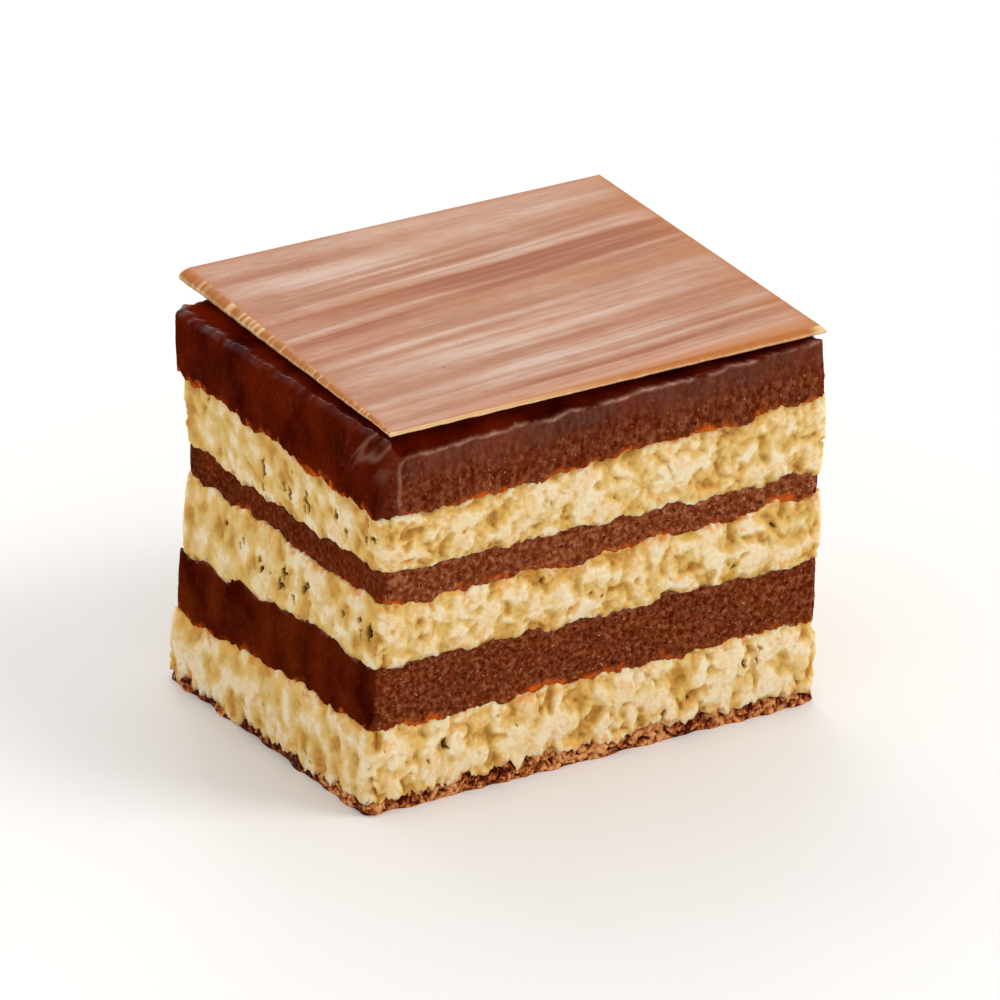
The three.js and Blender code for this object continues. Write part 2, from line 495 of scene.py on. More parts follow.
def ring_quads(rings: int, columns: int, first: int = 0) -> Array:
    """List the quads between rings of points that close on themselves, outside to the right of the walk.

    Args:
        rings: How many rings, from the lowest.
        columns: Points to a ring.
        first: Index of the first point.

    Returns:
        Four indices to a quad.
    """
    here = np.arange(columns)
    after = np.roll(here, -1)
    row = first + columns * np.arange(rings - 1)[:, None]
    quads = np.stack([row + here, row + after, row + columns + after, row + columns + here], axis=-1)
    return quads.reshape(-1, 4)


def fan(pole: int, ring: Array, upward: bool) -> Array:
    """List the triangles that close a ring with a pole.

    Args:
        pole: Index of the pole.
        ring: Indices of the ring, anticlockwise from above.
        upward: Whether the fan faces up.

    Returns:
        Three indices to a triangle.
    """
    after = np.roll(ring, -1)
    pair = (ring, after) if upward else (after, ring)
    return np.stack([np.full_like(ring, pole), *pair], axis=-1)


# Finishes


class Recipe:
    """Node tree of one finish, put together from its marks and from noise in Object coordinates."""

    def __init__(self, name: str) -> None:
        """Start a material with its Principled shader.

        Args:
            name: Name of the material.
        """
        self.material = bpy.data.materials.new(name)
        self.material.use_nodes = True
        self.tree = self.material.node_tree
        self.shader = self.tree.nodes["Principled BSDF"]
        self.place = self.tree.nodes.new("ShaderNodeTexCoord").outputs["Object"]

    def add(self, kind: str, *inputs: object, **settings: object) -> bpy.types.Node:
        """Add a node with its settings, and link or set its first inputs.

        Args:
            kind: Blender's name for the node.
            *inputs: Sockets or values for the node's inputs in order; None leaves one alone.
            **settings: Properties of the node.

        Returns:
            The node.
        """
        node = self.tree.nodes.new(kind)
        for key, value in settings.items():
            setattr(node, key, value)
        for socket, value in zip(node.inputs, inputs):
            self.put(socket, value)
        return node

    def put(self, socket: Socket, value: object) -> None:
        """Link a socket to another, or set its value.

        Args:
            socket: The input.
            value: A socket, a number or a colour; None leaves the input alone.
        """
        if isinstance(value, Socket):
            self.tree.links.new(value, socket)
        elif isinstance(value, tuple) and len(value) == 3 and socket.type == "RGBA":
            socket.default_value = (*value, 1.0)
        elif value is not None:
            socket.default_value = value

    def mark(self, name: str) -> Socket:
        """Read one of the piece's marks."""
        return self.add("ShaderNodeAttribute", attribute_name=name).outputs["Fac"]

    def noise(self, size: float, detail: float = 2.0, stretch: Triple = (1.0, 1.0, 1.0)) -> Socket:
        """Read noise in Object coordinates.

        Args:
            size: Size of its coarsest spots in millimetres.
            detail: How many finer noises are added.
            stretch: Factors on the spots' size along X, Y and Z.

        Returns:
            The noise, about a half.
        """
        scale = tuple(1.0 / factor for factor in stretch)
        mapped = self.add("ShaderNodeMapping", self.place, None, None, scale).outputs[0]
        node = self.add("ShaderNodeTexNoise", mapped)
        node.inputs["Scale"].default_value = 1.0 / (size * MM)
        node.inputs["Detail"].default_value = detail
        return node.outputs[0]

    def span(self, value: object, low: float, high: float, start: float = 0.0, end: float = 1.0) -> Socket:
        """Map a value from low..high to start..end and hold it there.

        Args:
            value: The socket to map.
            low: Value that gives start.
            high: Value that gives end.
            start: Result at low.
            end: Result at high.

        Returns:
            The mapped socket.
        """
        return self.add("ShaderNodeMapRange", value, low, high, start, end).outputs[0]

    def ramp(self, value: object, stops: Stops) -> Socket:
        """Colour a value by a ramp.

        Args:
            value: The socket that is coloured.
            stops: Positions and colours in order.

        Returns:
            The colour.
        """
        node = self.add("ShaderNodeValToRGB", value)
        elements = node.color_ramp.elements
        while len(elements) < len(stops):
            elements.new(1.0)
        for element, (position, colour) in zip(elements, stops):
            element.position = position
            element.color = (*colour, 1.0)
        return node.outputs[0]

    def mix(self, share: object, low: object, high: object) -> Socket:
        """Mix two colours.

        Args:
            share: Socket or number from 0 for low to 1 for high.
            low: Colour or socket.
            high: Colour or socket.

        Returns:
            The mixed colour.
        """
        node = self.add("ShaderNodeMix", share, data_type="RGBA")
        self.put(node.inputs[6], low)
        self.put(node.inputs[7], high)
        return node.outputs[2]

    def sum(self, operation: str, first: object, second: object) -> Socket:
        """Work out two values with one of the Math node's operations, held from 0 to 1.

        Args:
            operation: The operation's name.
            first: Socket or number.
            second: Socket or number.

        Returns:
            The result.
        """
        return self.add("ShaderNodeMath", first, second, operation=operation, use_clamp=True).outputs[0]

    def bump(self, height: object, depth: float, strength: float = 1.0) -> None:
        """Give the shader a fine bump.

        Args:
            height: Socket with the bump's height.
            depth: Millimetres for a height of one.
            strength: Strength of the bump.
        """
        node = self.add("ShaderNodeBump")
        node.inputs["Strength"].default_value = strength
        node.inputs["Distance"].default_value = depth * MM
        self.put(node.inputs["Height"], height)
        self.put(self.shader.inputs["Normal"], node.outputs[0])

    def finish(self, **sockets: object) -> Material:
        """Fill the shader's inputs and return the material.

        Args:
            **sockets: Values or sockets under the inputs' names, with _ for a space.

        Returns:
            The finished material.
        """
        for name, value in sockets.items():
            self.put(self.shader.inputs[name.replace("_", " ")], value)
        return self.material


@dataclass(frozen=True)
class SpongeFinish:
    """Moist pale crumb: cream walls with painted highlights on their tops, yellow pits and near black pores
    painted with shade, rust under ganache and cocoa over it.
    """

    name: str = "sponge_crumb"
    cream: Colour = (0.855, 0.73, 0.505)
    butter: Colour = (0.75, 0.53, 0.225)
    pit: Colour = (0.695, 0.46, 0.135)
    hole: Colour = (0.51, 0.245, 0.042)
    pore_shade: Colour = (0.07, 0.02, 0.004)
    yolk: Colour = (0.80, 0.50, 0.13)
    painted_highlight: Colour = (0.94, 0.86, 0.71)
    toast: Colour = (0.82, 0.38, 0.08)
    rust: Colour = (0.66, 0.21, 0.028)
    cocoa: Colour = (0.34, 0.125, 0.042)
    fine_size: float = 0.5
    patch_size: float = 1.1
    tinge_size: float = 1.7
    spot_size: float = 0.55
    bump_size: float = 0.16
    bump_depth: float = 0.04
    glow_through: Triple = (0.95, 0.68, 0.34)

    def material(self) -> Material:
        """Make the material.

        Returns:
            A soft, translucent crumb coloured by the depth of its pits, which paints shade into them, with
            painted highlights on the crumb tops and painted shade in the pores.
        """
        recipe = Recipe(self.name)
        fine = recipe.span(recipe.noise(self.fine_size, 4.0), 0.32, 0.68, -0.13, 0.15)
        patches = recipe.span(recipe.noise(self.patch_size, 4.0), 0.36, 0.68, -0.06, 0.16)
        # Painted shade: the deeper the pit, the darker and yellower the crumb, from cream through butter
        # and pit to hole.
        depth = recipe.sum("ADD", recipe.sum("ADD", recipe.mark("pit"), patches), fine)
        tones = ((0.0, self.cream), (0.22, self.butter), (0.55, self.pit), (1.0, self.hole))
        crumb = recipe.ramp(depth, tones)
        tinge = recipe.span(recipe.noise(self.tinge_size, 3.0), 0.4, 0.7)
        near = recipe.span(recipe.mark("tinge"), 0.2, 1.0, 0.35, 0.75)
        crumb = recipe.mix(recipe.sum("MULTIPLY", tinge, near), crumb, self.yolk)
        # Painted highlights: whitish spots on the crumb tops, away from the pits.
        sparks = recipe.span(recipe.noise(self.fine_size, 3.0), 0.52, 0.7, 0.0, 0.55)
        tops = recipe.span(recipe.mark("pit"), 0.0, 0.4, 1.0, 0.0)
        crumb = recipe.mix(recipe.sum("MULTIPLY", sparks, tops), crumb, self.painted_highlight)
        spots = recipe.span(recipe.noise(self.spot_size, 3.0), 0.52, 0.63, 0.0, 0.85)
        crumb = recipe.mix(recipe.sum("MULTIPLY", spots, recipe.mark("tinge")), crumb, self.toast)
        # Painted shade: the opened pores are painted near black inside.
        crumb = recipe.mix(recipe.mark("pore"), crumb, self.pore_shade)
        crumb = recipe.mix(recipe.mark("rust"), crumb, self.rust)
        crumb = recipe.mix(recipe.mark("cocoa"), crumb, self.cocoa)
        recipe.bump(recipe.noise(self.bump_size, 3.0), self.bump_depth, 0.35)
        return recipe.finish(
            Base_Color=crumb,
            Roughness=recipe.span(recipe.noise(self.fine_size), 0.3, 0.7, 0.65, 0.85),
            Subsurface_Weight=0.6,
            Subsurface_Radius=self.glow_through,
            Subsurface_Scale=MM,
            Specular_IOR_Level=0.14,
        )


@dataclass(frozen=True)
class GanacheFinish:
    """Set chocolate ganache: dark and smooth where the knife sealed it, paler where it dragged."""

    name: str = "cut_ganache"
    smooth: Colour = (0.038, 0.0012, 0.0)
    dull: Colour = (0.118, 0.0135, 0.0008)
    pit: Colour = (0.055, 0.002, 0.0001)
    dark: Colour = (0.096, 0.0075, 0.0005)
    brown: Colour = (0.163, 0.032, 0.008)
    light: Colour = (0.285, 0.086, 0.034)
    painted_glint: Colour = (0.50, 0.235, 0.125)
    fringe: Colour = (0.60, 0.10, 0.006)
    # Pale bloom; along the top lip the same colour is a painted highlight
    bloom_and_highlight: Colour = (0.36, 0.17, 0.115)
    tone_size: float = 0.34
    pit_size: float = 0.27
    speck_size: float = 0.24
    mottle_size: float = 3.2
    worn_size: float = 0.35
    bump_size: float = 0.22
    bump_depth: float = 0.05
    drawn: float = 1.0
    sparse: float = 0.65

    def material(self) -> Material:
        """Make the material.

        Returns:
            A chocolate from dark and even to pitted and specked with painted glints, with a warm lower
            fringe and a pale bloom that carries a painted highlight along the top lip.
        """
        recipe = Recipe(self.name)
        grain = recipe.mark("grain")
        stretch = (1.0, 1.0, self.drawn)
        tone = recipe.span(recipe.noise(self.tone_size, 4.0, stretch), 0.32, 0.68)
        grainy = recipe.ramp(tone, ((0.0, self.dark), (0.5, self.brown), (1.0, self.light)))
        pits = recipe.span(recipe.noise(self.pit_size, 2.0, stretch), 0.3, 0.4, 0.9, 0.0)
        grainy = recipe.mix(pits, grainy, self.pit)
        mottle = recipe.span(recipe.noise(self.mottle_size, 6.0), 0.34, 0.66)
        base = recipe.mix(grain, recipe.mix(mottle, self.smooth, self.dull), grainy)
        # Painted glints: sparse bright specks on the grains, few on the sealed faces.
        painted_glints = recipe.noise(self.speck_size, 2.0, stretch)
        painted_glints = recipe.span(painted_glints, self.sparse, self.sparse + 0.09, 0.0, 0.9)
        painted_glints = recipe.sum("MULTIPLY", painted_glints, recipe.span(grain, 0.0, 1.0, 0.03, 1.0))
        base = recipe.mix(painted_glints, base, self.painted_glint)
        worn = recipe.span(recipe.noise(self.worn_size, 3.0), 0.36, 0.58, 0.3, 1.0)
        base = recipe.mix(recipe.sum("MULTIPLY", recipe.mark("fringe"), worn), base, self.fringe)
        base = recipe.mix(recipe.mark("bloom_and_highlight"), base, self.bloom_and_highlight)
        recipe.bump(recipe.noise(self.bump_size, 3.0), self.bump_depth, 0.6)
        return recipe.finish(
            Base_Color=base,
            Roughness=recipe.span(recipe.sum("ADD", grain, mottle), 0.0, 1.0, 0.4, 0.65),
            Specular_IOR_Level=0.0,
            Coat_Weight=recipe.mark("gloss"),
            Coat_Roughness=0.22,
        )


@dataclass(frozen=True)
class CoatFinish:
    """Thin crumbled chocolate coat under the cake, with paler broken flecks that carry painted highlights,
    and painted shade in the gaps.
    """

    name: str = "crumbled_chocolate"
    # Painted shade in the gaps between the chunks
    dark: Colour = (0.06, 0.004, 0.0005)
    brown: Colour = (0.39, 0.098, 0.02)
    fleck_and_highlight: Colour = (0.80, 0.38, 0.14)
    fleck_size: float = 0.3
    bump_size: float = 0.18
    bump_depth: float = 0.05

    def material(self) -> Material:
        """Make the material.

        Returns:
            A chocolate coloured from painted shade in its gaps to its broken flecks and their painted
            highlights.
        """
        recipe = Recipe(self.name)
        flecks_and_highlights = recipe.span(recipe.noise(self.fleck_size, 3.0), 0.3, 0.7, -0.35, 0.35)
        height = recipe.sum("ADD", recipe.mark("fleck_and_highlight"), flecks_and_highlights)
        # The ramp paints shade in the gaps and highlights on the raised flecks.
        base = recipe.ramp(height, ((0.15, self.dark), (0.5, self.brown), (0.9, self.fleck_and_highlight)))
        recipe.bump(recipe.noise(self.bump_size, 3.0), self.bump_depth, 0.6)
        return recipe.finish(Base_Color=base, Roughness=0.55, Specular_IOR_Level=0.05)


@dataclass(frozen=True)
class PlaqueFinish:
    """Brushed marbled chocolate sheet: pinkish tan with cream streaks, caramel at its broken rim."""

    name: str = "brushed_plaque"
    shade: Colour = (0.32, 0.089, 0.031)
    tan: Colour = (0.437, 0.199, 0.110)
    cream: Colour = (0.60, 0.41, 0.325)
    glaze: Colour = (0.50, 0.165, 0.03)
    caramel: Colour = (0.45, 0.135, 0.016)
    pale: Colour = (0.78, 0.52, 0.25)
    pinhole: Colour = (0.25, 0.07, 0.02)
    hair_size: float = 0.3
    hair_stretch: Triple = (5.0, 1.0, 1.0)
    pinhole_size: float = 0.28
    bump_size: float = 0.4
    bump_stretch: Triple = (8.0, 1.0, 1.0)
    bump_depth: float = 0.02

    def material(self) -> Material:
        """Make the material.

        Returns:
            A semi-gloss sheet coloured by its brush streaks, with striped caramel rims and pinholes.
        """
        recipe = Recipe(self.name)
        hairs = recipe.noise(self.hair_size, 2.0, self.hair_stretch)
        hairs = recipe.span(hairs, 0.3, 0.7, -0.07, 0.07)
        streak = recipe.sum("ADD", recipe.mark("streak"), hairs)
        top = recipe.ramp(streak, ((0.12, self.shade), (0.48, self.tan), (0.86, self.cream)))
        top = recipe.mix(recipe.mark("glaze"), top, self.glaze)
        holes = recipe.span(recipe.noise(self.pinhole_size, 1.0), 0.73, 0.78, 0.0, 0.7)
        top = recipe.mix(holes, top, self.pinhole)
        rim = recipe.mix(recipe.mark("stripe"), self.caramel, self.pale)
        base = recipe.mix(recipe.mark("rim"), top, rim)
        recipe.bump(recipe.noise(self.bump_size, 3.0, self.bump_stretch), self.bump_depth, 0.4)
        return recipe.finish(
            Base_Color=base,
            Roughness=recipe.span(streak, 0.0, 1.0, 0.34, 0.46),
            Specular_IOR_Level=0.3,
        )


@dataclass(frozen=True)
class FloorFinish:
    """White table with a faint gloss."""

    name: str = "white_table"
    white: Colour = (0.90, 0.895, 0.885)
    worn: Colour = (0.87, 0.865, 0.855)
    patch_size: float = 60.0

    def material(self) -> Material:
        """Make the material.

        Returns:
            A white that varies slightly.
        """
        recipe = Recipe(self.name)
        base = recipe.mix(recipe.noise(self.patch_size), self.white, self.worn)
        return recipe.finish(Base_Color=base, Roughness=0.4, Specular_IOR_Level=0.3)


# Layers of the cake


@dataclass(frozen=True)
class Shift:
    """Move of a layer's upright edges out of the nominal block, at its foot or head."""

    x: Corners = field(default_factory=Corners)
    y: Corners = field(default_factory=Corners)


@dataclass
class Wall:
    """A layer's wall before its relief: rows from foot to head by columns round the block."""

    points: Array
    normals: Array
    share: Array
    low: Array
    high: Array

    def above_foot(self) -> Array:
        """Give each point's height above the layer's foot."""
        return self.share * (self.high - self.low)

    def below_head(self) -> Array:
        """Give each point's depth below the layer's head."""
        return (1.0 - self.share) * (self.high - self.low)

    def on_long(self) -> Array:
        """Give 1 on the long faces and 0 on the short ones."""
        return ease(self.normals[..., 1] ** 2, 0.3, 0.8)

    def on_front(self) -> Array:
        """Give 1 on the front face and 0 on the others."""
        return ease(-self.normals[..., 1], 0.2, 0.9)


@dataclass
class Layer:
    """A layer of the stack: it lies on the seam under it and carries the seam over it."""

    name: str
    slot: Slot
    foot: Seam
    head: Seam
    foot_shift: Shift
    head_shift: Shift
    finish: Material
    step: float = 0.1
    crown: float = 0.0
    tuck: float = 0.0
    cap_shares: tuple[float, ...] = CAP_SHARES

    def levels(self, walk: Walk) -> tuple[Array, Array]:
        """Give the heights of the layer's foot and head along its outside.

        Args:
            walk: Points round the block.

        Returns:
            Heights of the foot and of the head.
        """
        low = self.foot.edge(walk.x, walk.y) - (self.tuck if self.foot.jag else 0.0)
        high = self.head.edge(walk.x, walk.y) + (self.tuck if self.head.jag else 0.0)
        return low, high

    def wall(self, walk: Walk) -> Wall:
        """Place the wall: the block's outline, shifted from foot to head, swollen by crown and leaning.

        Args:
            walk: Points round the block.

        Returns:
            The wall before its relief.
        """
        low, high = self.levels(walk)
        rows = max(6, round(float(np.mean(high - low)) / self.step))
        share = np.linspace(0.0, 1.0, rows + 1)[:, None] * np.ones_like(walk.x)
        height = low + (high - low) * share
        swell = self.crown * np.sin(np.pi * share)
        moved = []
        for place, normal, axis in ((walk.x, walk.normal_x, "x"), (walk.y, walk.normal_y, "y")):
            at_foot = getattr(self.foot_shift, axis).at(walk.x, walk.y)
            at_head = getattr(self.head_shift, axis).at(walk.x, walk.y)
            moved.append(place + at_foot + (at_head - at_foot) * share + normal * swell)
        points = np.stack([moved[0] + LEAN[0] * height, moved[1] + LEAN[1] * height, height], axis=-1)
        outward = np.stack([walk.normal_x, walk.normal_y, np.zeros_like(walk.x)], axis=-1)
        return Wall(points, np.tile(outward, (rows + 1, 1, 1)), share, low, high)

    def relief(self, wall: Wall) -> tuple[Array, dict[str, Array]]:
        """Give the wall's relief and the marks for its finish.

        Args:
            wall: The plain wall.

        Returns:
            Moves along the normals in millimetres, and the marks, all as arrays of the wall.
        """
        raise NotImplementedError

    def cap(self, seam: Seam, rim: Array, walk: Walk) -> Array:
        """Carry the wall's rim straight in to the ring where the layers lie on each other.

        Args:
            seam: The seam that the cap lies on.
            rim: Points of the wall's foot or head.
            walk: Points round the block.

        Returns:
            Rings of points from the rim inwards.
        """
        x = walk.x * (1 - 2 * SEAM_INSET / LENGTH)
        y = walk.y * (1 - 2 * SEAM_INSET / WIDTH)
        height = seam.height(x, y)
        inner = np.stack([x + LEAN[0] * height, y + LEAN[1] * height, height], axis=-1)
        shares = np.array(self.cap_shares)[:, None, None]
        return rim + (inner - rim) * shares

    def surface(self) -> Surface:
        """Work out the closed drum: a pole, the foot's rings, the wall, the head's rings and a pole.

        Returns:
            The surface with its marks.
        """
        walk = BLOCK.walk(self.step)
        wall = self.wall(walk)
        out, marks = self.relief(wall)
        placed = wall.points + wall.normals * out[..., None]
        under = self.cap(self.foot, placed[0], walk)[::-1]
        over = self.cap(self.head, placed[-1], walk)
        rings = np.concatenate([under, placed, over])
        poles = [self.pole(self.foot), self.pole(self.head)]
        count, columns = rings.shape[:2]
        points = np.concatenate([rings.reshape(-1, 3), poles])
        last = (count - 1) * columns + np.arange(columns)
        low_fan = fan(count * columns, np.arange(columns), False)
        high_fan = fan(count * columns + 1, last, True)
        grown = {}
        for mark, values in marks.items():
            spread = [values[:1].repeat(len(under), 0), values, self.head_mark(values[-1])]
            grown[mark] = np.concatenate([np.concatenate(spread).ravel(), [0.0, 0.0]])
        return Surface(points, ring_quads(count, columns), np.concatenate([low_fan, high_fan]), grown)

    def head_mark(self, rim: Array) -> Array:
        """Carry a mark of the wall's head over the cap, the same on every ring."""
        return np.tile(rim, (len(self.cap_shares), 1))

    def pole(self, seam: Seam) -> list[float]:
        """Give the middle of a seam, moved with the lean."""
        height = float(seam.height(np.zeros(1), np.zeros(1))[0])
        return [LEAN[0] * height, LEAN[1] * height, height]

    def build(self) -> bpy.types.Object:
        """Make the layer's piece."""
        return self.surface().dress(self.name, self.slot, self.finish)


@dataclass
class SpongeLayer(Layer):
    """Pale sponge: soft packed crumbs, sliced by the knife, with a few bubbles and small pores cut open."""

    crown: float = 0.15
    step: float = 0.084
    seed: float = 0.0
    crumb_size: float = 1.05
    rough_size: float = 0.95
    fine_size: float = 0.3
    bubble_size: float = 1.9
    lump_size: float = 1.8
    blotch_size: float = 0.5
    stain_size: float = 1.3
    wander: Pair = (0.5, 1.6)
    waver: Pair = (0.14, 0.4)
    lump: float = 0.2
    pack: float = 0.26
    tall: float = 1.0
    legs: float = 0.0
    leg_height: float = 1.8
    deepest: float = 0.6
    knife: float = 0.1
    smear: float = 0.1
    tear: float = 0.06
    tear_size: float = 0.24
    proud: float = 0.05
    flush_reach: float = 0.4
    tinge_reach: float = 1.3
    # Pit levels below which the crumb is painted with shade, with extra painted shade on the short faces
    pit_shade_level: float = 0.05
    short_face_shade: float = 0.024
    pit_depth: float = 0.26
    pores: int = 36
    pore_width: Pair = (0.08, 0.26)
    pore_height: Pair = (0.7, 2.6)
    pore_bottom: Pair = (0.06, 0.3)
    pore_waver: Pair = (0.22, 0.36)
    row_pores: int = 0
    row_level: float = 0.45
    row_scatter: float = 0.12
    row_end: float = 5.0
    row_wider: float = 1.5
    row_deeper: float = 0.3

    def relief(self, wall: Wall) -> tuple[Array, dict[str, Array]]:
        """Pack crumbs of two sizes over broad lumps, open bubbles and pores, and slice it all at the knife.

        The relief doubles round the upright edges, halves on the short faces, which were sliced flatter,
        and is less at the seams, where the layers were cut flush.

        Args:
            wall: The plain wall.

        Returns:
            Moves along the normals, and marks: pits and pores, where the finish paints shade, with more
                painted shade on the short faces; tinge at the seams, rust and cocoa there.
        """
        points, normals = wall.points, wall.normals
        foot, head = wall.above_foot(), wall.below_head()
        from_seam = np.minimum(foot, head)
        spots = drift(drift(points, *self.wander), *self.waver)
        crumbs = Grains(self.crumb_size, 0.5, 0.4, self.tall, self.seed).height(spots, normals)
        rough = rough_noise(spots / self.rough_size + self.seed, 4)
        fine = Grains(self.fine_size, 0.56, 0.4, 1.0, self.seed + 31.0).height(points, normals)
        holes = Bubbles(self.bubble_size, 0.2, 0.6, 0.8, self.seed + 67.0).depth(spots, normals)
        lumps = self.lump * smooth_noise(points / self.lump_size + self.seed)
        packing = self.pack + self.legs * ease(self.leg_height - foot, 0.0, self.leg_height)
        corner = 1.0 + ease(np.abs(normals[..., 0] * normals[..., 1]), 0.1, 0.4)
        short = ease(normals[..., 0] ** 2, 0.5, 0.95)
        pores = self.pore_depth(wall)
        stood = packing * np.maximum(crumbs, -0.55) + 0.42 * rough + 0.22 * fine + lumps - 0.42 * holes
        stood = np.maximum(corner * stood, -self.deepest)
        cut = self.knife - soft_floor(self.knife - stood, self.smear)
        packed = soften(cut, 1)
        tear = self.tear * rough_noise(points / self.tear_size + self.seed, 2)
        flush = 0.6 + 0.4 * ease(from_seam, 0.0, self.flush_reach)
        out = (1.0 - 0.5 * short) * flush * (0.4 * packed + 0.6 * cut + tear) - pores + self.proud
        calm = soften(packed, 3)
        calm = calm + short * (1.3 * soften(packed, 16) - calm) - pores
        blotch = rough_noise(points / self.blotch_size + 5.0, 3)
        blotch = blotch + 0.6 * smooth_noise(points / self.stain_size + 25.0)
        bled = ease(0.28 + 0.9 * blotch - head, 0.0, 0.7)
        haze = ease(1.1 + blotch - head, 0.0, 1.2)
        # Painted shade: the pit mark darkens the crumb in the hollows, and more on the short faces.
        marks = {
            "pit": np.clip((self.pit_shade_level + self.short_face_shade * short - calm) / self.pit_depth, 0.0, 1.0),
            "pore": ease(pores, 0.04, 0.24),
            "tinge": np.exp(-from_seam / self.tinge_reach),
            "rust": 0.7 * bled + 0.05 * haze,
            "cocoa": 0.65 * ease(0.22 + 0.6 * blotch - foot, 0.0, 0.5),
        }
        return out, marks

    def pore_depth(self, wall: Wall) -> Array:
        """Open small pores: dents at random places on the flat faces, some in a row along the left face.

        A pore's depth falls to its rim as ease(1 - r, 0, 0.6), where r is the distance over the pore's
        radii, read at places that drift so that the rim is torn.

        Args:
            wall: The plain wall.

        Returns:
            Depths in millimetres, as an array of the wall.
        """
        random = np.random.default_rng(int(self.seed) + 3)
        rows = len(wall.share)
        row = random.integers(rows // 8, rows - rows // 8, self.pores)
        flat = np.flatnonzero(np.abs(wall.normals[0]).max(axis=-1) > 0.999)
        column = random.choice(flat, self.pores)
        left = np.flatnonzero((wall.normals[0, :, 0] < -0.99) & (wall.points[0, :, 1] < self.row_end))
        if self.row_pores:
            level = self.row_level + self.row_scatter * random.standard_normal(self.row_pores)
            row[: self.row_pores] = np.clip(level * rows, 1, rows - 2).astype(int)
            column[: self.row_pores] = random.choice(left, self.row_pores)
        wide = random.uniform(*self.pore_width, self.pores)
        wide[: self.row_pores] *= self.row_wider
        tall = wide * random.uniform(*self.pore_height, self.pores)
        deep = random.uniform(*self.pore_bottom, self.pores)
        deep[: self.row_pores] += self.row_deeper
        torn = drift(wall.points, *self.pore_waver)
        depth = np.zeros_like(wall.share)
        for place, radius, height, bottom in zip(wall.points[row, column], wide, tall, deep):
            offset = (torn - place) / np.array([radius, radius, height])
            reach = np.sqrt((offset**2).sum(axis=-1))
            depth = np.maximum(depth, bottom * ease(1.0 - reach, 0.0, 0.6))
        return depth


@dataclass
class GanacheLayer(Layer):
    """Ganache: grainy along the long faces and smooth along the short ones."""

    crown: float = 0.04
    tuck: float = 0.05
    sealed: float = 0.06
    haze: float = 0.0
    drawn: float = 1.0
    waver: Pair = (0.12, 0.4)
    grain_size: float = 0.42
    rough_size: float = 0.5
    broad_size: float = 2.4
    drag_size: Triple = (0.35, 0.35, 2.5)

    def relief(self, wall: Wall) -> tuple[Array, dict[str, Array]]:
        """Pit the long faces with small grains and draw faint upright drags down the short ones.

        Args:
            wall: The plain wall.

        Returns:
            Moves along the normals, and marks: grain, warm fringe at the foot, bloom (with a painted
                highlight along the top layer's lip) and gloss.
        """
        grain = self.grain(wall)
        spots = drift(wall.points, *self.waver)
        grains = Bubbles(self.grain_size, 0.44, 0.4, self.drawn, 13.0).depth(spots, wall.normals)
        rough = 0.19 * rough_noise(wall.points / self.rough_size, 4)
        broad = 0.08 * rough_noise(wall.points / self.broad_size, 2)
        drags = 0.03 * smooth_noise(wall.points / np.array(self.drag_size))
        pitted = rough - 0.48 * grains + 0.06
        out = (0.5 + 0.5 * grain) * broad + grain * pitted + (1.0 - grain) * drags
        marks = {
            "grain": grain,
            "fringe": self.fringe(wall),
            "bloom_and_highlight": self.bloom_and_highlight(wall),
            "gloss": self.gloss(wall),
        }
        return out, marks

    def grain(self, wall: Wall) -> Array:
        """Give how grainy the wall is: fully on the long faces, a little on the short ones."""
        return self.sealed + (1.0 - self.sealed) * wall.on_long()

    def gloss(self, wall: Wall) -> Array:
        """Give the moist glints: a faint sheen, with brighter grains on the long faces."""
        glints = ease(smooth_noise(wall.points / 0.2 + 15.0), 0.35, 0.7)
        return 0.006 + 0.5 * glints * wall.on_long()

    def fringe(self, wall: Wall) -> Array:
        """Give the warm thin edge along the foot, where the ganache thins out over the crumb.

        Args:
            wall: The plain wall.

        Returns:
            Strength of the fringe.
        """
        noise = rough_noise(wall.points / 0.5 + 3.0, 3) + 0.7 * smooth_noise(wall.points / 1.9 + 14.0)
        broken = 0.2 + 0.8 * ease(smooth_noise(wall.points / 1.3 + 44.0), -0.3, 0.3)
        reach = 0.3 + 0.16 * wall.normals[..., 1] ** 2
        return broken * ease(reach + 0.6 * noise - wall.above_foot(), 0.0, 0.5)

    def bloom_and_highlight(self, wall: Wall) -> Array:
        """Give the pale smear along the head, where crumb was dragged over the ganache."""
        noise = rough_noise(wall.points / 0.7 + 9.0, 3)
        return self.haze * wall.on_long() + 0.5 * ease(0.2 + 0.5 * noise - wall.below_head(), 0.0, 0.45)


